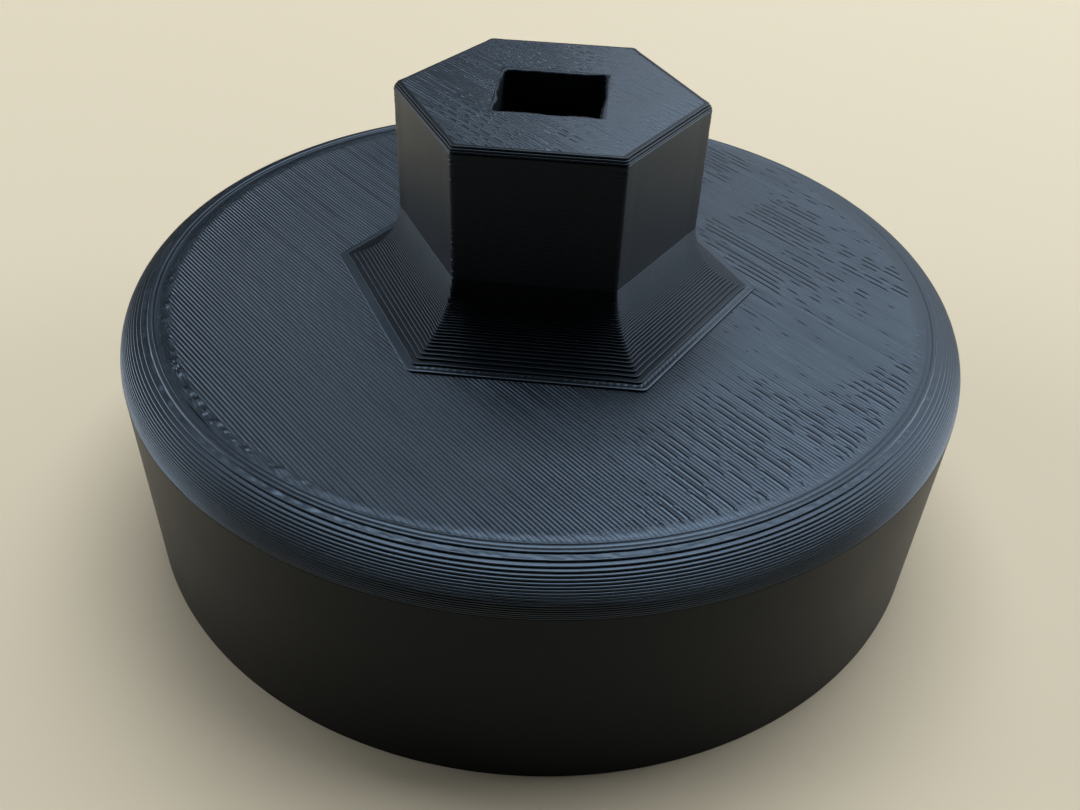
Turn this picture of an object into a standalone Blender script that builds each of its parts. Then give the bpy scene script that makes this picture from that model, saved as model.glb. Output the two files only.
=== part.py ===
"""Cap-style oil filter wrench, made as one filament print that stands with its open cup down.

The cup drops over the fluted end of a spin-on filter. A square drive goes into the socket in
the hexagonal boss, or a spanner goes round the boss. The print is modelled as the bodies that
the nozzle lays down and bonds together: perimeter walls, solid skins and infill.

Units are metres. +Z is up along the drive axis, and the origin is the centre of the rim's foot.
"""

import math

import bpy

MM = 0.001

# Cup
OUTER_DIAMETER = 84.0 * MM
CUP_THICKNESS = 5.0 * MM
FILTER_FLAT_COUNT = 14
DECK_HEIGHT = 24.8 * MM
ROOF_THICKNESS = 5.0 * MM
SHOULDER_RADIUS = 4.0 * MM

# Boss and drive socket
BOSS_HEIGHT = 19.2 * MM
HEX_ACROSS_FLATS = 25.4 * MM
FLARE_RADIUS = 7.0 * MM
DRIVE_SQUARE = 9.75 * MM

# Printed layers, walls, skins and infill
LAYER_HEIGHT = 0.2 * MM
CUP_WALL = 1.2 * MM
BOSS_WALL = 1.6 * MM
SOCKET_WALL = 1.2 * MM
TOP_SKIN = 5 * LAYER_HEIGHT
BOTTOM_SKIN = 4 * LAYER_HEIGHT
INFILL_LINE = 0.6 * MM
CELL_PITCH = 5.0 * MM
CELL_ROWS_ANGLE = 45.0
CUP_ZIGZAG_COUNT = 56
BOSS_ZIGZAG_COUNT = 20
BOND_GAP = 0.05 * MM

# Facets
ROUND_STEPS = 112
ARC_STEPS = 8
HEX_SIDES = 6

FILAMENT_COLOUR = (0.012, 0.014, 0.018, 1.0)
FILAMENT_ROUGHNESS = 0.42

# Worked out from the sizes above
OUTER_RADIUS = OUTER_DIAMETER / 2
FILTER_ACROSS_FLATS = OUTER_DIAMETER - 2 * CUP_THICKNESS
FILTER_APOTHEM = FILTER_ACROSS_FLATS / 2
HEX_APOTHEM = HEX_ACROSS_FLATS / 2
TOTAL_HEIGHT = DECK_HEIGHT + BOSS_HEIGHT
CEILING_HEIGHT = DECK_HEIGHT - ROOF_THICKNESS
WALL_BACK_RADIUS = OUTER_RADIUS - CUP_WALL
DECK_RADIUS = OUTER_RADIUS - SHOULDER_RADIUS
BOSS_CORE_APOTHEM = HEX_APOTHEM - BOSS_WALL
SOCKET_HALF = DRIVE_SQUARE / 2
SOCKET_BACK_HALF = SOCKET_HALF + SOCKET_WALL
INFILL_FLOOR = CEILING_HEIGHT + BOTTOM_SKIN
DECK_SKIN_FLOOR = DECK_HEIGHT - TOP_SKIN
BOSS_SKIN_FLOOR = TOTAL_HEIGHT - TOP_SKIN


def clear_scene():
    for old in list(bpy.data.objects):
        bpy.data.objects.remove(old, do_unlink=True)


def new_collection(name):
    collection = bpy.data.collections.new(name)
    bpy.context.scene.collection.children.link(collection)
    return collection


def filament(name):
    """A black filament finish. Each sub-part has a material of its own."""
    material = bpy.data.materials.new(name + "_filament")
    material.use_nodes = True
    shader = material.node_tree.nodes["Principled BSDF"]
    shader.inputs["Base Color"].default_value = FILAMENT_COLOUR
    shader.inputs["Roughness"].default_value = FILAMENT_ROUGHNESS
    shader.inputs["Metallic"].default_value = 0.0
    material.diffuse_color = FILAMENT_COLOUR
    return material


# Outlines, as lists of points in the XY plane


def circle(radius):
    """The circle's points lie where a turned piece of as many steps has its corners."""
    turn = 2 * math.pi / ROUND_STEPS
    return [(radius * math.cos(i * turn), radius * math.sin(i * turn)) for i in range(ROUND_STEPS)]


def polygon(apothem, sides, centre=(0.0, 0.0), first_corner=0.0):
    """A regular polygon, by the distance from its centre to the middle of a side."""
    corner = apothem / math.cos(math.pi / sides)
    turn = 2 * math.pi / sides
    angles = [first_corner + i * turn for i in range(sides)]
    return [(centre[0] + corner * math.cos(a), centre[1] + corner * math.sin(a)) for a in angles]


def hexagon(apothem, centre=(0.0, 0.0)):
    """A hexagon with two corners on the X axis, so that two flats face along Y."""
    return polygon(apothem, HEX_SIDES, centre)


def square(half):
    """A square with its sides along X and Y."""
    return polygon(half, 4, first_corner=math.pi / 4)


def reach(apothem, sides, angle, first_corner=0.0):
    """How far a regular polygon reaches from its centre at an angle."""
    turn = 2 * math.pi / sides
    from_middle = (angle - first_corner) % turn - turn / 2
    return apothem / math.cos(from_middle)


def zigzag(inner_reach, outer_reach, count):
    """The two outlines of one infill line that runs to and fro between two walls, round the axis."""
    outside, inside = [], []
    for i in range(2 * count):
        angle = math.pi * (i + 0.5) / count
        low = inner_reach(angle) + INFILL_LINE / 2
        high = outer_reach(angle) - INFILL_LINE / 2
        middle = high if i % 2 else low
        for points, radius in ((outside, middle + INFILL_LINE / 2), (inside, middle - INFILL_LINE / 2)):
            points.append((radius * math.cos(angle), radius * math.sin(angle)))
    return [outside, inside]


def honeycomb(keep):
    """The cells of a honeycomb, laid askew as a slicer lays it, whose corners all pass the test."""
    cells = []
    skew = math.radians(CELL_ROWS_ANGLE)
    row_step = CELL_PITCH * math.sqrt(3) / 2
    rows = math.ceil(OUTER_RADIUS / row_step)
    columns = math.ceil(OUTER_RADIUS / CELL_PITCH) + rows
    for row in range(-rows, rows + 1):
        for column in range(-columns, columns + 1):
            along = (column + row / 2) * CELL_PITCH
            across = row * row_step
            x = along * math.cos(skew) - across * math.sin(skew)
            y = along * math.sin(skew) + across * math.cos(skew)
            cell = polygon((CELL_PITCH - INFILL_LINE) / 2, 6, (x, y), skew + math.pi / 6)
            if all(keep(*corner) for corner in cell):
                cells.append(cell)
    return cells


def in_deck_infill(x, y):
    """Whether a point lies between the boss and the shoulder, at least an infill line from both."""
    radius = math.hypot(x, y)
    boss = reach(BOSS_CORE_APOTHEM + INFILL_LINE, HEX_SIDES, math.atan2(y, x))
    return boss < radius < DECK_RADIUS - INFILL_LINE


# Solids


def plate(name, outlines, low, high, collection):
    """A flat piece between two heights. The first outline is its edge and the others are holes."""
    curve = bpy.data.curves.new(name, "CURVE")
    curve.dimensions = "2D"
    curve.fill_mode = "BOTH"
    curve.extrude = (high - low) / 2
    for outline in outlines:
        spline = curve.splines.new("POLY")
        spline.points.add(len(outline) - 1)
        for point, (x, y) in zip(spline.points, outline):
            point.co = (x, y, 0.0, 1.0)
        spline.use_cyclic_u = True
    piece = bpy.data.objects.new(name, curve)
    piece.location.z = (low + high) / 2
    curve.materials.append(filament(name))
    collection.objects.link(piece)
    return piece


def turned(name, profile, steps, collection):
    """A closed profile of (radius, height) points, run round the axis in a number of steps."""
    mesh = bpy.data.meshes.new(name)
    edges = [(i, (i + 1) % len(profile)) for i in range(len(profile))]
    mesh.from_pydata([(radius, 0.0, height) for radius, height in profile], edges, [])
    piece = bpy.data.objects.new(name, mesh)
    mesh.materials.append(filament(name))
    collection.objects.link(piece)
    screw = piece.modifiers.new("turn", "SCREW")
    screw.steps = steps
    screw.render_steps = steps
    screw.use_merge_vertices = True
    screw.merge_threshold = 0.01 * MM
    screw.use_smooth_shade = steps == ROUND_STEPS
    return piece


def arc(centre, radius, start, end):
    """Points on an arc in the profile plane, between two angles in degrees."""
    angles = [math.radians(start + (end - start) * i / ARC_STEPS) for i in range(ARC_STEPS + 1)]
    return [(centre[0] + radius * math.cos(a), centre[1] + radius * math.sin(a)) for a in angles]


# Pieces of the cup


def cup_outer_wall(collection):
    """The outside perimeters, with the solid layers that round over into the deck."""
    ledge = INFILL_FLOOR + BOND_GAP
    shoulder = arc((DECK_RADIUS, DECK_HEIGHT - SHOULDER_RADIUS), SHOULDER_RADIUS, 90, 0)
    profile = shoulder + [
        (OUTER_RADIUS, 0.0),
        (WALL_BACK_RADIUS, 0.0),
        (WALL_BACK_RADIUS, ledge),
        (DECK_RADIUS, ledge),
    ]
    return turned("cup_outer_wall", profile, ROUND_STEPS, collection)


def cup_inner_wall(collection):
    """The inside perimeters, whose flats grip the filter."""
    back = polygon(FILTER_APOTHEM + CUP_WALL, FILTER_FLAT_COUNT)
    grip = polygon(FILTER_APOTHEM, FILTER_FLAT_COUNT)
    return plate("cup_inner_wall", [back, grip], 0.0, CEILING_HEIGHT - BOND_GAP, collection)


def wall_infill(collection):
    """One line of infill, to and fro between the cup's two walls."""

    def inner_reach(angle):
        return reach(FILTER_APOTHEM + CUP_WALL, FILTER_FLAT_COUNT, angle) + BOND_GAP

    def outer_reach(angle):
        return WALL_BACK_RADIUS - BOND_GAP

    lines = zigzag(inner_reach, outer_reach, CUP_ZIGZAG_COUNT)
    return plate("wall_infill", lines, BOTTOM_SKIN + BOND_GAP, CEILING_HEIGHT - BOND_GAP, collection)


def rim_base_skin(collection):
    """The first solid layers, which close the foot of the cup's wall."""
    edge = circle(WALL_BACK_RADIUS - BOND_GAP)
    hole = polygon(FILTER_APOTHEM + CUP_WALL + BOND_GAP, FILTER_FLAT_COUNT)
    return plate("rim_base_skin", [edge, hole], 0.0, BOTTOM_SKIN, collection)


# Pieces of the roof


def ceiling_skin(collection):
    """The solid layers bridged over the cup, with the socket's hole."""
    outlines = [circle(WALL_BACK_RADIUS - BOND_GAP), square(SOCKET_BACK_HALF + BOND_GAP)]
    return plate("ceiling_skin", outlines, CEILING_HEIGHT, INFILL_FLOOR, collection)


def deck_infill(collection):
    """Honeycomb that carries the deck's top skin."""
    edge = circle(DECK_RADIUS - BOND_GAP)
    hole = hexagon(BOSS_CORE_APOTHEM)
    outlines = [edge, hole] + honeycomb(in_deck_infill)
    low = INFILL_FLOOR + BOND_GAP
    high = DECK_SKIN_FLOOR - BOND_GAP
    return plate("deck_infill", outlines, low, high, collection)


def deck_top_skin(collection):
    """The solid layers of the deck, round the foot of the boss."""
    outlines = [circle(DECK_RADIUS - BOND_GAP), hexagon(BOSS_CORE_APOTHEM)]
    return plate("deck_top_skin", outlines, DECK_SKIN_FLOOR, DECK_HEIGHT, collection)


# Pieces of the boss


def boss_wall(collection):
    """The hexagonal perimeters, flared where they stand on the deck.

    The flare stops half a layer above the deck, where a printer's first slice of it lies.
    """
    to_corner = 1 / math.cos(math.pi / HEX_SIDES)
    foot = DECK_HEIGHT + BOND_GAP
    flare_centre = (HEX_APOTHEM + FLARE_RADIUS, DECK_HEIGHT + FLARE_RADIUS)
    sweep = math.degrees(math.asin(1 - LAYER_HEIGHT / 2 / FLARE_RADIUS))
    flare = arc(flare_centre, FLARE_RADIUS, 180, 180 + sweep)
    lip = flare[-1][0]
    section = [
        (BOSS_CORE_APOTHEM, TOTAL_HEIGHT),
        (HEX_APOTHEM, TOTAL_HEIGHT),
        *flare,
        (lip, foot),
        (BOSS_CORE_APOTHEM, foot),
    ]
    profile = [(apothem * to_corner, height) for apothem, height in section]
    return turned("boss_wall", profile, HEX_SIDES, collection)


def boss_infill(collection):
    """One line of infill, to and fro between the socket and the boss's wall."""

    def inner_reach(angle):
        return reach(SOCKET_BACK_HALF + BOND_GAP, 4, angle, math.pi / 4)

    def outer_reach(angle):
        return reach(BOSS_CORE_APOTHEM - BOND_GAP, HEX_SIDES, angle)

    lines = zigzag(inner_reach, outer_reach, BOSS_ZIGZAG_COUNT)
    return plate("boss_infill", lines, INFILL_FLOOR + BOND_GAP, BOSS_SKIN_FLOOR - BOND_GAP, collection)


def socket_wall(collection):
    """The perimeters round the square drive hole, which runs right through."""
    outlines = [square(SOCKET_BACK_HALF), square(SOCKET_HALF)]
    return plate("socket_wall", outlines, CEILING_HEIGHT, TOTAL_HEIGHT, collection)


def boss_top_skin(collection):
    """The solid layers of the boss's top, between its wall and the socket."""
    outlines = [hexagon(BOSS_CORE_APOTHEM - BOND_GAP), square(SOCKET_BACK_HALF + BOND_GAP)]
    return plate("boss_top_skin", outlines, BOSS_SKIN_FLOOR, TOTAL_HEIGHT, collection)


def main():
    clear_scene()
    wrench = new_collection("oil_filter_wrench")
    cup_outer_wall(wrench)
    cup_inner_wall(wrench)
    wall_infill(wrench)
    rim_base_skin(wrench)
    ceiling_skin(wrench)
    deck_infill(wrench)
    deck_top_skin(wrench)
    boss_wall(wrench)
    boss_infill(wrench)
    socket_wall(wrench)
    boss_top_skin(wrench)


main()
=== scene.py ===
"""Looks of the printed oil filter wrench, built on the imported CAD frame.

Every visible skin of the print is made as the printer lays it: the walls layer by layer, and the
flat skins line by line. Working sizes are in millimetres, and meshes are scaled to metres.
"""

import math
from functools import lru_cache, partial
from typing import NamedTuple

import bmesh
import bpy
import numpy as np
from mathutils import Matrix, Vector


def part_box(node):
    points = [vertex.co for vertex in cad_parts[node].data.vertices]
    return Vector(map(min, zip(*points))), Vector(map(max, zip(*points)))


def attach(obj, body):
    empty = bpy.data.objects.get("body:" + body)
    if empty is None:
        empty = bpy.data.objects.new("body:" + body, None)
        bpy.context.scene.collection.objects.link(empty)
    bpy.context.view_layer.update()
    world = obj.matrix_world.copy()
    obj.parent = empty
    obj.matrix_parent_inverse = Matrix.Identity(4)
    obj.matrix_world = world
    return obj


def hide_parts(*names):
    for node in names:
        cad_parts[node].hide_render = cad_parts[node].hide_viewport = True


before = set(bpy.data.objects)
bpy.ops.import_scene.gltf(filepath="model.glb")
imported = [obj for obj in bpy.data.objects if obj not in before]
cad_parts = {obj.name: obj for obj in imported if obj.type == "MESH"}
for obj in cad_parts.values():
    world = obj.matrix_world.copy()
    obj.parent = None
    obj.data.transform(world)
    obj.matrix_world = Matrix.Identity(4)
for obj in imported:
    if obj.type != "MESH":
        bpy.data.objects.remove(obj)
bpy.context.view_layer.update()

MM = 0.001

# Sizes of the object, as in the CAD
OUTER_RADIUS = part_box("cup_outer_wall")[1].x / MM
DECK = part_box("cup_outer_wall")[1].z / MM
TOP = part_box("socket_wall")[1].z / MM
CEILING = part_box("ceiling_skin")[0].z / MM
SHOULDER = 4.0
FILTER_APOTHEM = 37.0
FILTER_FLATS = 14
HEX_APOTHEM = 12.7
FLARE = 7.0
SOCKET_HALF = 4.875
PERIMETERS = 1.2
BOSS_PERIMETERS = 1.6
SKIN = 1.0
BASE_SKIN = 0.8
GAP = 0.05

DECK_RADIUS = OUTER_RADIUS - SHOULDER
WALL_BACK = OUTER_RADIUS - PERIMETERS
GRIP_BACK = FILTER_APOTHEM + PERIMETERS
HEX_CORE = HEX_APOTHEM - BOSS_PERIMETERS
SOCKET_BACK = SOCKET_HALF + PERIMETERS

# The print
LAYER = 0.2
BEAD = 0.075
STEP_BACK = 1.7 * BEAD
LINE = 0.36
BRIDGE_LINE = 0.44
LINE_TURN = math.radians(45)
DASH_PITCH = 3.4
TOP_SURFACE = TOP - 0.008

# Where a line is cut lengthwise, as shares of its width off its middle
CROWN = 0.32
FLANK = 0.42
SEAM = 0.5
LINE_OFFSETS = (-SEAM, -FLANK, -CROWN, CROWN, FLANK)

# Meshes
WALL_SEGMENTS = 336
SHOULDER_SEGMENTS = 512
LIP_SEGMENTS = 1200
DECK_SAMPLES = 96
BOSS_SAMPLES = 60
CEILING_SAMPLES = 12
SHARP_ANGLE = math.radians(60)
NOISE_CELLS = 128
TINY = 1e-6

# Looks
DARK_TONE = (0.0010, 0.0011, 0.0013, 1)
SMEARED_TONE = (0.0026, 0.0028, 0.0032, 1)
# Painted skylight: a blue tint on every filament's reflections, standing in for the blue daylight that the
# plastic reflects
PAINTED_SKYLIGHT_TINT = (0.6, 0.78, 1.0, 1)
DUST_COLOUR = (0.42, 0.42, 0.40, 1)
FLOOR_COLOUR = (0.63, 0.515, 0.36, 1)
FLOOR_REACH = 2.5
DAYLIGHT = (0.8, 0.9, 1.0)
LAMP_AIM = (0.0, 0.0, 0.02)

# The sockets of a mix node that hold colours
MIX_FIRST = 6
MIX_SECOND = 7
MIX_RESULT = 2

# The photograph's camera, solved from the wrench's own edges
CAMERA_SPOT = (6.57, -92.88, 82.82)
CAMERA_AIM = (1.11, -14.28, 18.9)
CAMERA_ROLL = math.radians(2.452)
FOCAL_PIXELS = 1063.2
IMAGE_WIDTH = 1080


def smooth(low, high, x):
    """Eases from 0 at low to 1 at high."""
    t = np.clip((x - low) / (high - low), 0.0, 1.0)
    return t * t * (3 - 2 * t)


@lru_cache
def random_values(seed):
    """A square of random values, always the same for a seed."""
    return np.random.default_rng(seed).random((NOISE_CELLS, NOISE_CELLS))


def noise(x, y, seed):
    """Smooth noise from 0 to 1, with one random value for each whole step of x and y."""
    table = random_values(seed)
    x, y = np.broadcast_arrays(np.asarray(x, float), np.asarray(y, float))
    column, row = np.floor(x).astype(int), np.floor(y).astype(int)
    right, up = smooth(0, 1, x - column), smooth(0, 1, y - row)

    def along(row):
        here = table[column % NOISE_CELLS, row % NOISE_CELLS]
        beside = table[(column + 1) % NOISE_CELLS, row % NOISE_CELLS]
        return here * (1 - right) + beside * right

    return along(row) * (1 - up) + along(row + 1) * up


def bump(x, centre, width):
    """A rounded hump of height 1."""
    return np.exp(-(((x - centre) / width) ** 2))


# Pieces


def piece(name, points, faces, material, *nodes):
    """A smooth-shaded mesh that stands for CAD nodes and rides with the part."""
    points = np.asarray(points, float).reshape(-1, 3) * MM
    mesh = bpy.data.meshes.new(name)
    mesh.from_pydata(points.tolist(), [], faces)
    mesh.validate()
    shape = bmesh.new()
    shape.from_mesh(mesh)
    bmesh.ops.recalc_face_normals(shape, faces=shape.faces)
    shape.to_mesh(mesh)
    shape.free()
    mesh.shade_smooth()
    mesh.set_sharp_from_angle(angle=SHARP_ANGLE)
    mesh.materials.append(material)
    made = bpy.data.objects.new(name, mesh)
    bpy.context.scene.collection.objects.link(made)
    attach(made, "root")
    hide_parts(*nodes)


def closed_loft(name, loops, material, *nodes):
    """A ring-shaped solid: each loop closes on itself, and the last loop joins the first."""
    loops = np.asarray(loops)
    rows, columns = loops.shape[:2]
    here = np.arange(rows * columns).reshape(rows, columns)
    above = np.roll(here, -1, 0)
    corners = [here, np.roll(here, -1, 1), np.roll(above, -1, 1), above]
    faces = np.stack(corners, -1).reshape(-1, 4).tolist()
    piece(name, loops, faces, material, *nodes)


def full_turn(segments):
    """Evenly spaced angles round the axis."""
    return np.linspace(0, 2 * np.pi, segments, endpoint=False)


def ring(radius, height, angle):
    """A level loop round the axis."""
    return np.stack([radius * np.cos(angle), radius * np.sin(angle), np.full(len(angle), height)], -1)


def turned_loops(profile, segments, wobble):
    """The loops of a turned profile of (radius, height) points.

    wobble(row, angle) is added to each radius.
    """
    angle = full_turn(segments)
    loops = []
    for row, (radius, height) in enumerate(profile):
        loops.append(ring(radius + wobble(row, angle), height, angle))
    return loops


class Outline(NamedTuple):
    """A regular polygon with rounded corners, without its size.

    Each point has an outward normal, the direction of its corner, and its share of the way along
    the flat that follows that corner.
    """

    normals: np.ndarray
    corners: np.ndarray
    shares: np.ndarray
    corner_radius: float
    sides: int


def rounded_polygon(sides, corner_radius, corner_steps, flat_steps, first_corner):
    """The outline of a polygon, with the steps that each corner and each flat is divided into."""
    normals, corners, shares = [], [], []
    half = math.pi / sides
    for i in range(sides):
        corner = first_corner + 2 * half * i
        turns = [corner - half + 2 * half * step / (corner_steps - 1) for step in range(corner_steps)]
        turns += [corner + half] * (flat_steps - 1)
        normals += [(math.cos(turn), math.sin(turn)) for turn in turns]
        corners += [(math.cos(corner), math.sin(corner))] * len(turns)
        shares += [0.0] * corner_steps
        shares += [step / flat_steps for step in range(1, flat_steps)]
    return Outline(np.array(normals), np.array(corners), np.array(shares), corner_radius, sides)


def polygon_loop(outline, apothem, height, push=0.0, radius=None):
    """One loop of a rounded polygon at a height, each point pushed outwards by a little."""
    radius = outline.corner_radius if radius is None else radius
    half = math.pi / outline.sides
    normals = outline.normals
    centre = outline.corners * ((apothem - radius) / math.cos(half))
    flat = 2 * (apothem - radius) * math.tan(half)
    along = np.stack([-normals[:, 1], normals[:, 0]], -1) * (outline.shares * flat)[:, None]
    spot = centre + along + normals * (radius + np.asarray(push))[..., None]
    return np.concatenate([spot, np.full((len(spot), 1), height)], 1)


def layer_profile(radius, low):
    """One printed layer's rounded edge, from its foot up, as (radius, height) points."""
    return [
        (radius - 0.9 * BEAD, low + 0.004),
        (radius - 0.2 * BEAD, low + 0.25 * LAYER),
        (radius, low + 0.55 * LAYER),
        (radius - 0.2 * BEAD, low + 0.84 * LAYER),
        (radius - 0.8 * BEAD, low + 0.97 * LAYER),
        (radius - STEP_BACK, low + LAYER),
    ]


def slices(low, high):
    """The foot of each layer between two heights."""
    return [low + LAYER * i for i in range(round((high - low) / LAYER))]


# Flat skins, laid line by line. In the lines' own axes, u runs across the lines and v along them


def part_axes(u, v):
    """A place's x and y, from its place in the lines' axes."""
    x = u * math.cos(LINE_TURN) - v * math.sin(LINE_TURN)
    y = u * math.sin(LINE_TURN) + v * math.cos(LINE_TURN)
    return x, y


def circle_span(radius, u):
    """Where a line at u starts and stops in a circle."""
    half = math.sqrt(radius**2 - u**2)
    return -half, half


def polygon_span(apothem, sides, first_corner, u):
    """Where a line at u starts and stops in a regular polygon, or None twice if it misses it."""
    corner = apothem / math.cos(math.pi / sides)
    angles = first_corner - LINE_TURN + 2 * math.pi * np.arange(sides) / sides
    us, vs = corner * np.cos(angles), corner * np.sin(angles)
    crossings = []
    for i in range(sides):
        u0, v0, u1, v1 = us[i - 1], vs[i - 1], us[i], vs[i]
        if min(u0, u1) <= u <= max(u0, u1) and u0 != u1:
            crossings.append(v0 + (v1 - v0) * (u - u0) / (u1 - u0))
    return (min(crossings), max(crossings)) if crossings else (None, None)


def line_columns(span, pitch):
    """The lengthwise cuts through the lines in a span of u, as (u, offset, line's number)."""
    columns = []
    for line in range(math.floor(span[0] / pitch), math.ceil(span[1] / pitch) + 1):
        for offset in LINE_OFFSETS:
            u = (line + 0.5 + offset) * pitch
            if span[0] - TINY <= u <= span[1] + TINY:
                columns.append((u, offset, line))
    return columns


def skin_faces(top, foot, broken, samples):
    """The faces of a flat skin, from the numbers of its points on each cut, above and below."""
    faces = []
    wide, long = top.shape
    for i in range(wide - 1):
        n = i + 1
        for j in range(long - 1):
            if j != samples - 1:
                faces.append((top[i, j], top[n, j], top[n, j + 1], top[i, j + 1]))
        faces.append((foot[i, 0], foot[i, 1], foot[n, 1], foot[n, 0]))
        faces.append((foot[i, 2], foot[i, 3], foot[n, 3], foot[n, 2]))
        faces.append((top[i, 0], foot[i, 0], foot[n, 0], top[n, 0]))
        faces.append((top[i, -1], top[n, -1], foot[n, 3], foot[i, 3]))
        if broken[i] or broken[n]:
            faces.append((top[i, samples - 1], top[n, samples - 1], foot[n, 1], foot[i, 1]))
            faces.append((top[i, samples], foot[i, 2], foot[n, 2], top[n, samples]))
    for i, flip in ((0, 1), (wide - 1, -1)):
        rim = list(dict.fromkeys(top[i].tolist() + foot[i].tolist()[::-1]))
        faces.append(tuple(rim[::flip]))
    faces = [tuple(dict.fromkeys(int(k) for k in face)) for face in faces]
    return [face for face in faces if len(face) > 2]


def raster_skin(name, edge, hole, span, pitch, relief, low, samples, material, *nodes):
    """A flat skin of straight lines over a span of u, with a groove between each and the next.

    edge(u) and hole(u) give where a line at u starts and stops, and where it is broken. relief
    gives the surface's height, and how far the place slides in u, from the place in the lines'
    axes, the share of the line's width that it is off the middle, and the line's number.
    """
    eased = np.linspace(0, 1, samples) ** 1.2
    tops, feet, broken = [], [], []
    for u, offset, line in line_columns(span, pitch):
        start, stop = edge(u)
        left, right = hole(u)
        broken.append(left is not None and right - left > TINY)
        if not broken[-1]:
            left = right = np.clip(0.0, start, stop)
        v = np.concatenate([start + (left - start) * eased, (stop + (right - stop) * eased)[::-1]])
        height, slide = relief(u, v, offset, line)
        tops.append(np.stack([u + slide + np.zeros(len(v)), v, height], -1))
        feet.append([(u, start, low), (u, left, low), (u, right, low), (u, stop, low)])
    tops, feet = np.array(tops), np.array(feet)
    wide, long = tops.shape[:2]
    top = np.arange(wide * long).reshape(wide, long)
    foot = wide * long + np.arange(wide * 4).reshape(wide, 4)
    for i in range(wide):
        if not broken[i]:
            top[i, samples] = top[i, samples - 1]
            foot[i, 2] = foot[i, 1]
    points = np.concatenate([tops.reshape(-1, 3), feet.reshape(-1, 3)])
    points[:, 0], points[:, 1] = part_axes(points[:, 0], points[:, 1])
    piece(name, points, skin_faces(top, foot, broken, samples), material, *nodes)


def nearest_seam(offset, line):
    """The number of the seam that a place lies next to."""
    return line if offset < 0 else line + 1


def groove(offset, depth, opened):
    """How far a line's top drops beside its neighbour: a rounded edge, and a slot where they part."""
    rounded = np.interp(abs(offset), [CROWN, FLANK, SEAM], [0.1, 0.5, 1.0])
    slot = np.interp(abs(offset), [CROWN, FLANK], [0.0, 1.0])
    return rounded * depth + slot * opened


def dashes(v, seam, seed):
    """Where every other groove opens in dashes, as the skin sags over the gaps in the infill."""
    start = 40 * noise(seam * 7.7, 0.5, seed)
    along = (v / DASH_PITCH + start + 0.6 * noise(seam * 3.3, v / 5.0, seed + 1)) % 1.0
    reach = 0.85 * smooth(0.2, 0.7, noise(seam * LINE / 7.0, v / 7.0, seed + 2))
    reach = reach * smooth(0.3, 0.5, noise(seam * 5.1, v / 9.0, seed + 3))
    return smooth(0.0, 0.04, along) * (1 - smooth(reach, reach + 0.05, along)) * (1 - seam % 2)


def deck_relief(u, v, offset, line):
    """The deck's surface: lines and grooves, sag over the cup, and lumps by the left-hand edge.

    The grooves are wide and deep at the left, and shallow but open in dashes at the right.
    """
    seam = nearest_seam(offset, line)
    x, y = part_axes(u, v)
    r = np.hypot(x, y)
    edge = DECK_RADIUS - r
    angle = np.degrees(np.arctan2(y, x)) % 360
    inside = smooth(0.7, 1.6, edge)
    rightwards = x + 0.3 * y
    right = smooth(-20, 20, rightwards)
    depth = (0.100 - 0.060 * right) * (0.7 + 0.6 * noise(seam * 2.3, v / 8.0, seed=3))
    opened = 0.30 * smooth(-4, 14, rightwards) * inside * dashes(v, seam, seed=5)
    cut = groove(offset, depth * (0.3 + 0.7 * inside), opened)
    sag = 0.08 * smooth(21, 26, r) * (1 - smooth(30, 35, r))
    swell = 0.03 * (noise(u / 7.0, v / 7.0, seed=7) - 0.5)
    swell = swell + 0.010 * (noise(line * 7.3, v / 14.0, seed=8) - 0.5)
    scuffed = bump(edge, 0.9, 0.5) * smooth(184, 192, angle) * (1 - smooth(235, 250, angle))
    lumps = scuffed * 0.09 * smooth(0.45, 0.8, noise(x / 0.8, y / 0.5, seed=9))
    ends = 0.04 * bump(edge, 0.7, 0.45) * noise(u / LINE, v / 0.5, seed=10)
    free = smooth(0.03, 0.3, edge)
    widen = np.interp(abs(offset), [CROWN, FLANK, SEAM], [0.10, 0.04, 0.0]) * LINE * (1 - right)
    slide = -math.copysign(1.0, offset) * widen
    return DECK + (swell + lumps + ends - cut - sag - 0.012) * free, slide


def boss_relief(u, v, offset, line):
    """The boss's top: shallower grooves, with short dashes that are clearest at the left."""
    seam = nearest_seam(offset, line)
    left = 1 - smooth(-6, 6, part_axes(u, v)[0])
    depth = (0.014 + 0.022 * noise(seam * 2.3, v / 5.0, seed=13)) * (1 + 1.6 * left)
    cut = groove(offset, depth, 0.12 * (0.15 + 0.85 * left) * dashes(v * 2.0, seam, seed=15))
    swell = 0.014 * noise(u / 4.0, v / 4.0, seed=17)
    return TOP_SURFACE - cut - swell, 0.0


def ceiling_relief(u, v, offset, line):
    """The bridged ceiling, whose loose lines sag one by one."""
    sag = 0.05 * noise(line * 3.7, v / 30.0, seed=21)
    return CEILING + 0.06 + 0.25 * (2 * offset) ** 4 - sag, 0.0


# Materials


def node(tree, kind, **settings):
    """A new shader node with some of its settings."""
    made = tree.nodes.new(kind)
    for key, value in settings.items():
        setattr(made, key, value)
    return made


def noise_texture(tree, place, scale, detail):
    """A noise node that reads the given coordinates."""
    made = node(tree, "ShaderNodeTexNoise")
    made.inputs["Scale"].default_value = scale
    made.inputs["Detail"].default_value = detail
    tree.links.new(place, made.inputs["Vector"])
    return made


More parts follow.
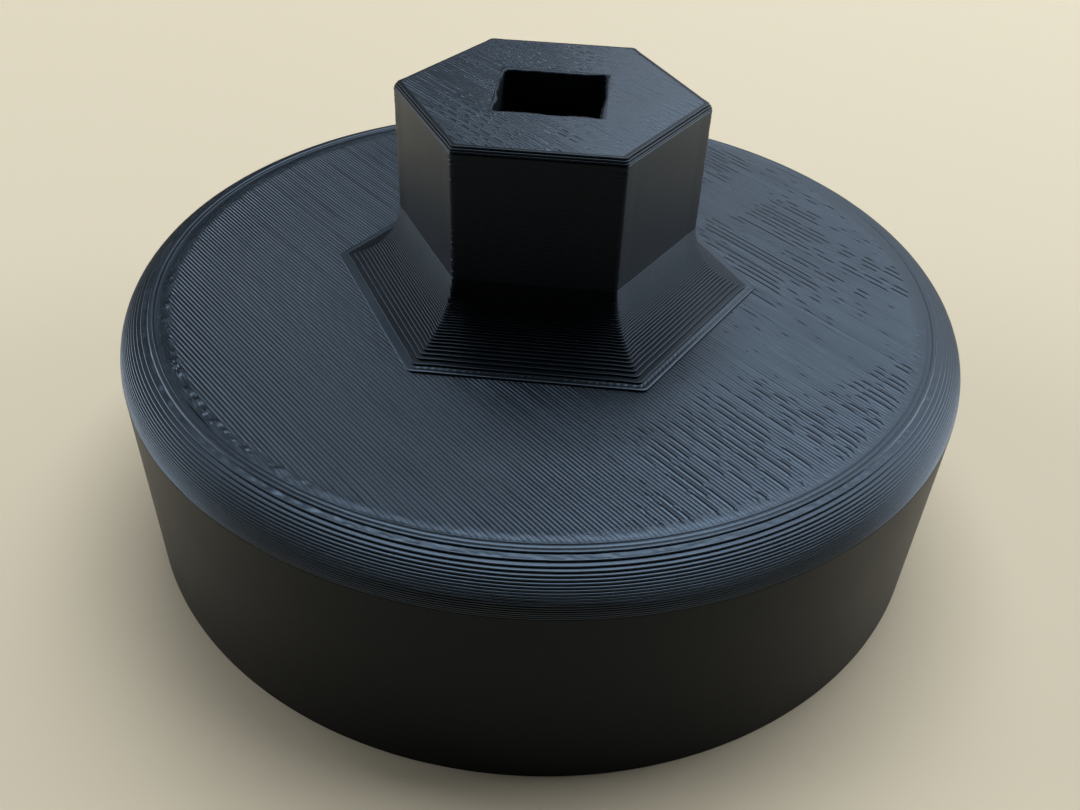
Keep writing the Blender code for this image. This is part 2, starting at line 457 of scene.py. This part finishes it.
def flecks(tree, place, share):
    """A mask of small round flecks, in a share of the cells of a random pattern."""
    link = tree.links.new
    cells = node(tree, "ShaderNodeTexVoronoi")
    cells.inputs["Scale"].default_value = 230.0
    link(place, cells.inputs["Vector"])
    near = node(tree, "ShaderNodeMath", operation="LESS_THAN")
    link(cells.outputs["Distance"], near.inputs[0])
    near.inputs[1].default_value = 0.05
    chance = node(tree, "ShaderNodeSeparateColor")
    link(cells.outputs["Color"], chance.inputs["Color"])
    rare = node(tree, "ShaderNodeMath", operation="GREATER_THAN")
    link(chance.outputs["Red"], rare.inputs[0])
    rare.inputs[1].default_value = 1.0 - share
    both = node(tree, "ShaderNodeMath", operation="MULTIPLY")
    link(near.outputs["Value"], both.inputs[0])
    link(rare.outputs["Value"], both.inputs[1])
    return both.outputs["Value"]


def filament(name, roughness, grain, dust, specular):
    """Black filament: a near-black satin plastic with fine grain, faint smears and a little dust, its
    reflections tinted by a painted skylight blue.
    """
    material = bpy.data.materials.new(name)
    material.use_nodes = True
    tree = material.node_tree
    link = tree.links.new
    shader = tree.nodes["Principled BSDF"]
    place = node(tree, "ShaderNodeTexCoord").outputs["Object"]

    smear = noise_texture(tree, place, scale=90.0, detail=5.0)
    smear.inputs["Roughness"].default_value = 0.62
    tone = node(tree, "ShaderNodeValToRGB")
    tone.color_ramp.elements[0].position = 0.3
    tone.color_ramp.elements[0].color = DARK_TONE
    tone.color_ramp.elements[1].position = 0.75
    tone.color_ramp.elements[1].color = SMEARED_TONE
    link(smear.outputs["Fac"], tone.inputs["Fac"])
    dusty = node(tree, "ShaderNodeMix", data_type="RGBA")
    link(flecks(tree, place, dust), dusty.inputs["Factor"])
    link(tone.outputs["Color"], dusty.inputs[MIX_FIRST])
    dusty.inputs[MIX_SECOND].default_value = DUST_COLOUR
    link(dusty.outputs[MIX_RESULT], shader.inputs["Base Color"])

    gloss = node(tree, "ShaderNodeMapRange")
    gloss.inputs["To Min"].default_value = roughness - 0.05
    gloss.inputs["To Max"].default_value = roughness + 0.07
    link(smear.outputs["Fac"], gloss.inputs["Value"])
    link(gloss.outputs["Result"], shader.inputs["Roughness"])

    fine = noise_texture(tree, place, scale=5200.0, detail=2.0)
    raised = node(tree, "ShaderNodeBump")
    raised.inputs["Strength"].default_value = grain
    raised.inputs["Distance"].default_value = 0.00002
    link(fine.outputs["Fac"], raised.inputs["Height"])
    link(raised.outputs["Normal"], shader.inputs["Normal"])

    shader.inputs["IOR"].default_value = 1.5
    shader.inputs["Specular IOR Level"].default_value = specular
    # The reflections are tinted blue: painted skylight colour, not the plastic's own
    shader.inputs["Specular Tint"].default_value = PAINTED_SKYLIGHT_TINT
    return material


# The cup


def cup_wall(material):
    """The outside wall below the shoulder, a shallow bead for each layer."""
    low, high = 0.0, DECK - SHOULDER
    valley = OUTER_RADIUS - 0.016
    crest = OUTER_RADIUS - 0.004
    profile = [(WALL_BACK, low), (OUTER_RADIUS - 0.03, low)]
    for foot in slices(low, high):
        profile += [(valley, foot + 0.02), (crest, foot + 0.5 * LAYER)]
    profile += [(valley, high), (WALL_BACK, high)]

    def wobble(row, angle):
        if row in (0, len(profile) - 1):
            return 0.0
        return 0.004 * (noise(row * 0.37, angle * 6, seed=31) - 1.0)

    closed_loft("cup_wall", turned_loops(profile, WALL_SEGMENTS, wobble), material, "cup_outer_wall")


def slice_radius(depth):
    """The shoulder's radius at a depth below the deck."""
    return DECK_RADIUS + math.sqrt(SHOULDER**2 - (SHOULDER - depth) ** 2)


def cup_shoulder(material):
    """The rounded shoulder, in the steps that the layers leave, up to the last layer but one."""
    low = DECK - SHOULDER
    high = DECK - LAYER
    layers = [layer_profile(slice_radius(DECK - foot - LAYER / 2), foot) for foot in slices(low, high)]
    profile = [(DECK_RADIUS, low), (OUTER_RADIUS - BEAD, low)]
    profile += sum(layers, [])
    profile += [(DECK_RADIUS + 0.6, high - 0.15), (DECK_RADIUS, high - 0.15)]

    def wobble(row, angle):
        if row < 2 or row > len(profile) - 3:
            return 0.0
        layer = (row - 2) // len(layers[0])
        return 0.02 * (noise(layer * 1.7, angle * 24, seed=33) - 1.0)

    loops = turned_loops(profile, SHOULDER_SEGMENTS, wobble)
    closed_loft("cup_shoulder", loops, material, "cup_outer_wall")


def cup_lip(material):
    """The shoulder's top: the last layer but one's rough tread, and two perimeters round the deck."""
    lip = slice_radius(LAYER / 2)
    tread = slice_radius(1.5 * LAYER) - STEP_BACK
    low = DECK - LAYER
    treads = 6
    first_seam = lip - 0.42
    second_seam = lip - 0.84
    bank = 0.06
    raised = DECK + 0.004
    profile = [(DECK_RADIUS, low - 0.1), (tread, low - 0.1)]
    for i in range(treads):
        profile.append((tread + (lip - tread) * i / (treads - 1), low))
    profile += [(lip - 0.02, low + 0.03), (lip, low + 0.5 * LAYER), (lip - 0.02, low + 0.8 * LAYER)]
    profile += [(lip - 0.07, DECK - 0.004), (lip - 0.14, raised), (first_seam + bank, raised)]
    profile += [(first_seam, DECK - 0.035), (first_seam - bank, DECK), (second_seam + bank, DECK)]
    profile += [(second_seam, DECK - 0.03), (DECK_RADIUS, DECK - 0.03)]

    def wobble(row, angle):
        return 0.02 * (noise(angle * 30, row / 8, seed=35) - 1.0) if row > treads + 1 else 0.0

    loops = np.array(turned_loops(profile, LIP_SEGMENTS, wobble))
    for row in range(3, len(profile) - 1):
        x, y = loops[row, :, 0], loops[row, :, 1]
        rough = 0.07 if row < treads + 1 else 0.014
        loops[row, :, 2] += rough * (noise((x + y) / 0.45, (x - y) / 1.2, seed=36) - 0.6)
    closed_loft("cup_lip", loops, material, "cup_outer_wall")


def cup_grip(material):
    """The inside wall, whose flats grip the filter."""
    outline = rounded_polygon(FILTER_FLATS, 0.4, 3, 4, 0.0)
    spots = np.arange(len(outline.shares))
    top = CEILING - GAP
    valley = FILTER_APOTHEM + 0.03
    loops = [polygon_loop(outline, GRIP_BACK, 0.0)]
    for foot in slices(0.0, top):
        push = 0.02 * noise(foot * 3.1, spots / 3, seed=41)
        loops.append(polygon_loop(outline, valley, foot + 0.01, push))
        loops.append(polygon_loop(outline, FILTER_APOTHEM, foot + 0.5 * LAYER, push))
    loops.append(polygon_loop(outline, valley, top))
    loops.append(polygon_loop(outline, GRIP_BACK, top))
    closed_loft("cup_grip", loops[::-1], material, "cup_inner_wall")


def rim_foot(material):
    """The first layers at the rim's foot, laid as rings and pressed flat on the bed."""
    angle = full_turn(WALL_SEGMENTS)
    flat = 2 * np.pi / FILTER_FLATS
    inner = (GRIP_BACK + GAP) / np.cos(angle % flat - flat / 2)
    outer = WALL_BACK - GAP
    lines = 6
    pressed = 0.004
    groove_height = 0.05
    steps = [(1.0, BASE_SKIN), (0.0, BASE_SKIN)]
    for i in range(lines):
        steps += [(i / lines, groove_height), ((i + 0.12) / lines, pressed), ((i + 0.88) / lines, pressed)]
    steps.append((1.0, groove_height))
    loops = [ring(inner + (outer - inner) * share, height, angle) for share, height in steps]
    closed_loft("rim_foot", loops, material, "rim_base_skin")


def ceiling(material):
    """The ceiling over the filter, bridged in straight lines."""
    radius = WALL_BACK - GAP
    reach = radius - 0.01
    raster_skin(
        "ceiling_lines",
        partial(circle_span, radius),
        partial(polygon_span, SOCKET_BACK + GAP, 4, math.pi / 4),
        (-reach, reach),
        BRIDGE_LINE,
        ceiling_relief,
        CEILING + BASE_SKIN,
        CEILING_SAMPLES,
        material,
        "ceiling_skin",
    )


def deck(material):
    """The deck's top skin, in three bands of straight lines at 45 degrees to the hexagon."""
    reach = DECK_RADIUS - 0.01
    lines_to_bound = 36
    bound = lines_to_bound * LINE
    bands = {"left": (-reach, -bound), "middle": (-bound, bound), "right": (bound, reach)}
    for side, span in bands.items():
        raster_skin(
            f"deck_skin_{side}",
            partial(circle_span, DECK_RADIUS),
            partial(polygon_span, HEX_CORE, 6, 0.0),
            span,
            LINE,
            deck_relief,
            DECK - SKIN,
            DECK_SAMPLES,
            material,
            "deck_top_skin",
        )


# The boss


def flare_out(height):
    """How far the boss's foot flares beyond the hexagon at a height above the deck."""
    return FLARE - math.sqrt(FLARE**2 - max(FLARE - height, 0.0) ** 2)


def boss_foot(material):
    """The flare's first layer, whose tread is dimpled on the right of the front."""
    outline = rounded_polygon(6, 0.55, 6, 128, 0.0)
    spots = np.arange(len(outline.shares))
    dimpled = smooth(0.5, 0.85, outline.normals @ np.array([0.5, -0.866]))
    dots = bump((spots / 4.3 + 0.5 * noise(spots / 9, 0.0, seed=45)) % 1.0, 0.5, 0.2)
    out = HEX_APOTHEM + flare_out(LAYER / 2)
    back = HEX_APOTHEM + flare_out(1.5 * LAYER) - 0.3
    loops = [polygon_loop(outline, back, DECK)]
    for apothem, z in layer_profile(out, DECK):
        push = 0.02 * (noise(spots / 9, z, seed=43) - 1.0)
        loops.append(polygon_loop(outline, apothem, z, push))
    start = out - STEP_BACK
    treads = 9
    for i in range(1, treads):
        share = i / treads
        loop = polygon_loop(outline, start + (back - start) * share, DECK + LAYER)
        loop[:, 2] += 0.012 * bump(share, 0.1, 0.1) - 0.09 * dots * bump(share, 0.36, 0.14) * dimpled
        loops.append(loop)
    loops.append(polygon_loop(outline, back, DECK + LAYER))
    closed_loft("boss_foot", loops, material, "boss_wall")


def straight_profile(low):
    """One layer of the hexagon's straight part, as (apothem, height) points."""
    valley = HEX_APOTHEM - 0.034
    between = HEX_APOTHEM - 0.013
    crest = HEX_APOTHEM - 0.004
    return [
        (valley, low + 0.03 * LAYER),
        (between, low + 0.25 * LAYER),
        (crest, low + 0.5 * LAYER),
        (between, low + 0.75 * LAYER),
    ]


def boss(material):
    """The hexagonal wall: flared steps at its foot, straight layers above, and swollen corners."""
    outline = rounded_polygon(6, 0.5, 6, 14, 0.0)
    from_corner = np.minimum(outline.shares, 1 - outline.shares)
    ridge = bump(from_corner, 0.0, 0.03) - 0.5 * bump(from_corner, 0.085, 0.035)
    count = len(from_corner)
    spots = np.arange(count)
    print_seam = bump(spots, 4 * count // 6 + 2.5, 2.0)
    feet = slices(DECK, TOP)
    rounded_layers = 3
    loops = [polygon_loop(outline, HEX_CORE, DECK, radius=0.1)]
    for number, foot in enumerate(feet[1:], start=1):
        height = foot + LAYER / 2 - DECK
        swell = 0.05 * ridge * (0.6 + 0.8 * noise(number * 0.9, 0.0, seed=51))
        drift = 0.003 * (noise(number * 1.3, spots / 4, seed=53) - 0.7)
        lumpy = smooth(0.4, 0.7, noise(number * 0.9, spots / 2, seed=57))
        zits = 0.16 * print_seam * bump(height, 4.6, 1.6) * lumpy
        push = np.minimum(swell + drift, 0.06) + zits
        flare = flare_out(height)
        inset = 0.30 * (max(0, number + 1 + rounded_layers - len(feet)) / rounded_layers) ** 2
        if flare > 0.02 or inset:
            rows = layer_profile(HEX_APOTHEM + flare - inset, foot)
        else:
            rows = straight_profile(foot)
        for apothem, z in rows:
            loops.append(polygon_loop(outline, apothem, min(z, TOP_SURFACE), push))
    loops.append(polygon_loop(outline, HEX_APOTHEM - 0.62, TOP_SURFACE))
    loops.append(polygon_loop(outline, HEX_APOTHEM - 0.70, TOP - 0.03))
    loops.append(polygon_loop(outline, HEX_CORE, TOP - SKIN, radius=0.1))
    closed_loft("boss_wall_layers", loops, material, "boss_wall")


def boss_top(material):
    """The boss's top skin, in the deck's line direction."""
    outer = HEX_APOTHEM - 0.67
    corner = outer / math.cos(math.radians(30))
    # The outermost corners lie 15 degrees off the lines' u axis
    reach = corner * math.cos(math.radians(15)) - 0.02
    raster_skin(
        "boss_top_lines",
        partial(polygon_span, outer, 6, 0.0),
        partial(polygon_span, SOCKET_HALF + 0.28, 4, math.pi / 4),
        (-reach, reach),
        LINE,
        boss_relief,
        TOP - SKIN,
        BOSS_SAMPLES,
        material,
        "boss_top_skin",
    )


def socket(material):
    """The square drive hole, with layers down its walls and a ragged mouth."""
    outline = rounded_polygon(4, 0.6, 7, 22, math.pi / 4)
    spots = np.arange(len(outline.shares))
    loops = [polygon_loop(outline, SOCKET_BACK, CEILING, radius=0.2)]
    for number, foot in enumerate(slices(CEILING, TOP)):
        rough = 0.05 * (noise(number * 1.1, spots / 4, seed=61) - 0.5)
        loops.append(polygon_loop(outline, SOCKET_HALF + 0.03, foot + 0.01, rough))
        loops.append(polygon_loop(outline, SOCKET_HALF, foot + 0.5 * LAYER, rough))
    ragged = 0.42 * (noise(spots / 5.0, 0.0, seed=63) - 0.8)
    ragged = ragged + 0.16 * (noise(spots / 1.4, 0.0, seed=64) - 0.6)
    ragged = ragged + 0.24 * bump(spots, 4.0, 4.0)
    loops.append(polygon_loop(outline, SOCKET_HALF + 0.06, TOP - 0.16, ragged))
    loops.append(polygon_loop(outline, SOCKET_HALF + 0.12, TOP - 0.05, ragged))
    loops.append(polygon_loop(outline, SOCKET_HALF + 0.22, TOP - 0.014, 0.6 * ragged))
    loops.append(polygon_loop(outline, SOCKET_HALF + 0.34, TOP - 0.03, radius=0.4))
    loops.append(polygon_loop(outline, SOCKET_BACK, TOP - SKIN, radius=0.2))
    closed_loft("socket_layers", loops[::-1], material, "socket_wall")


# Stage, light and camera


def stage():
    """A plain pale floor."""
    mesh = bpy.data.meshes.new("floor")
    low, high = -FLOOR_REACH, FLOOR_REACH
    corners = [(low, low, 0), (high, low, 0), (high, high, 0), (low, high, 0)]
    mesh.from_pydata(corners, [], [(0, 1, 2, 3)])
    floor = bpy.data.objects.new("floor", mesh)
    bpy.context.scene.collection.objects.link(floor)
    pale = bpy.data.materials.new("pale_floor")
    pale.use_nodes = True
    shader = pale.node_tree.nodes["Principled BSDF"]
    shader.inputs["Base Color"].default_value = FLOOR_COLOUR
    shader.inputs["Roughness"].default_value = 0.6
    shader.inputs["Specular IOR Level"].default_value = 0.1
    mesh.materials.append(pale)


def lamp(name, spot, size, radiance, aim=LAMP_AIM):
    """A soft oblong lamp that faces a point. Its power follows from the brightness of its face."""
    light = bpy.data.lights.new(name, "AREA")
    light.shape = "RECTANGLE"
    light.size, light.size_y = size
    light.energy = radiance * math.pi * size[0] * size[1]
    light.color = DAYLIGHT
    made = bpy.data.objects.new(name, light)
    made.location = spot
    made.rotation_euler = (Vector(aim) - Vector(spot)).to_track_quat("-Z", "Y").to_euler()
    bpy.context.scene.collection.objects.link(made)


def lights():
    """Daylight from the back, the sides and overhead, with a faint fill from the front."""
    world = bpy.data.worlds.new("room")
    bpy.context.scene.world = world
    world.use_nodes = True
    background = world.node_tree.nodes["Background"]
    background.inputs["Color"].default_value = (*DAYLIGHT, 1)
    background.inputs["Strength"].default_value = 0.01
    lamp("right_window", (0.3, 0.62, 0.42), (0.8, 0.55), 1.18)
    lamp("overhead", (0.05, 0.32, 0.85), (0.8, 0.6), 6.35, aim=(0.0, 0.0, 0.0))
    lamp("left_wall", (-0.69, 0.12, 0.23), (0.6, 0.4), 4.95)
    lamp("right_wall", (0.68, 0.25, 0.2), (0.4, 0.4), 6.85)
    lamp("left_fill", (-0.55, -0.55, 0.28), (0.5, 0.35), 0.7)
    lamp("right_fill", (0.55, -0.55, 0.28), (0.5, 0.35), 0.7)


def camera():
    """The photograph's camera."""
    spot = Vector(CAMERA_SPOT) * MM
    aim = Vector(CAMERA_AIM) * MM
    lens = bpy.data.cameras.new("photo")
    lens.sensor_width = 36.0
    lens.lens = FOCAL_PIXELS / IMAGE_WIDTH * lens.sensor_width
    lens.clip_start = 0.005
    made = bpy.data.objects.new("photo", lens)
    bpy.context.scene.collection.objects.link(made)
    back = (spot - aim).normalized()
    level = Vector((0, 0, 1)).cross(back).normalized()
    upright = back.cross(level)
    right = level * math.cos(CAMERA_ROLL) + upright * math.sin(CAMERA_ROLL)
    up = upright * math.cos(CAMERA_ROLL) - level * math.sin(CAMERA_ROLL)
    axes = Matrix((right, up, back)).transposed().to_4x4()
    made.matrix_world = Matrix.Translation(spot) @ axes
    bpy.context.scene.camera = made


def main():
    """Makes every piece, dresses the solids that still show, and sets the stage."""
    bpy.context.scene.view_settings.view_transform = "Standard"
    # One black filament in five copies whose specular levels differ, from 0.12 on the outer wall to 1.0 on
    # the boss top: painted shade that dims the wall's reflections, and painted sheen that brightens the
    # shoulder, deck and boss top
    wall = filament("wall_filament", roughness=0.36, grain=0.25, dust=0.012, specular=0.12)
    face = filament("boss_filament", roughness=0.34, grain=0.3, dust=0.012, specular=0.3)
    top = filament("top_filament", roughness=0.34, grain=0.35, dust=0.02, specular=1.0)
    skin = filament("skin_filament", roughness=0.34, grain=0.35, dust=0.02, specular=0.7)
    inside = filament("inside_filament", roughness=0.45, grain=0.4, dust=0.0, specular=0.35)
    cup_wall(wall)
    cup_shoulder(skin)
    cup_lip(skin)
    cup_grip(inside)
    rim_foot(inside)
    ceiling(inside)
    deck(skin)
    boss_foot(skin)
    boss(face)
    boss_top(top)
    socket(inside)
    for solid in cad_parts.values():
        solid.data.materials.clear()
        solid.data.materials.append(inside)
    stage()
    lights()
    camera()


main()
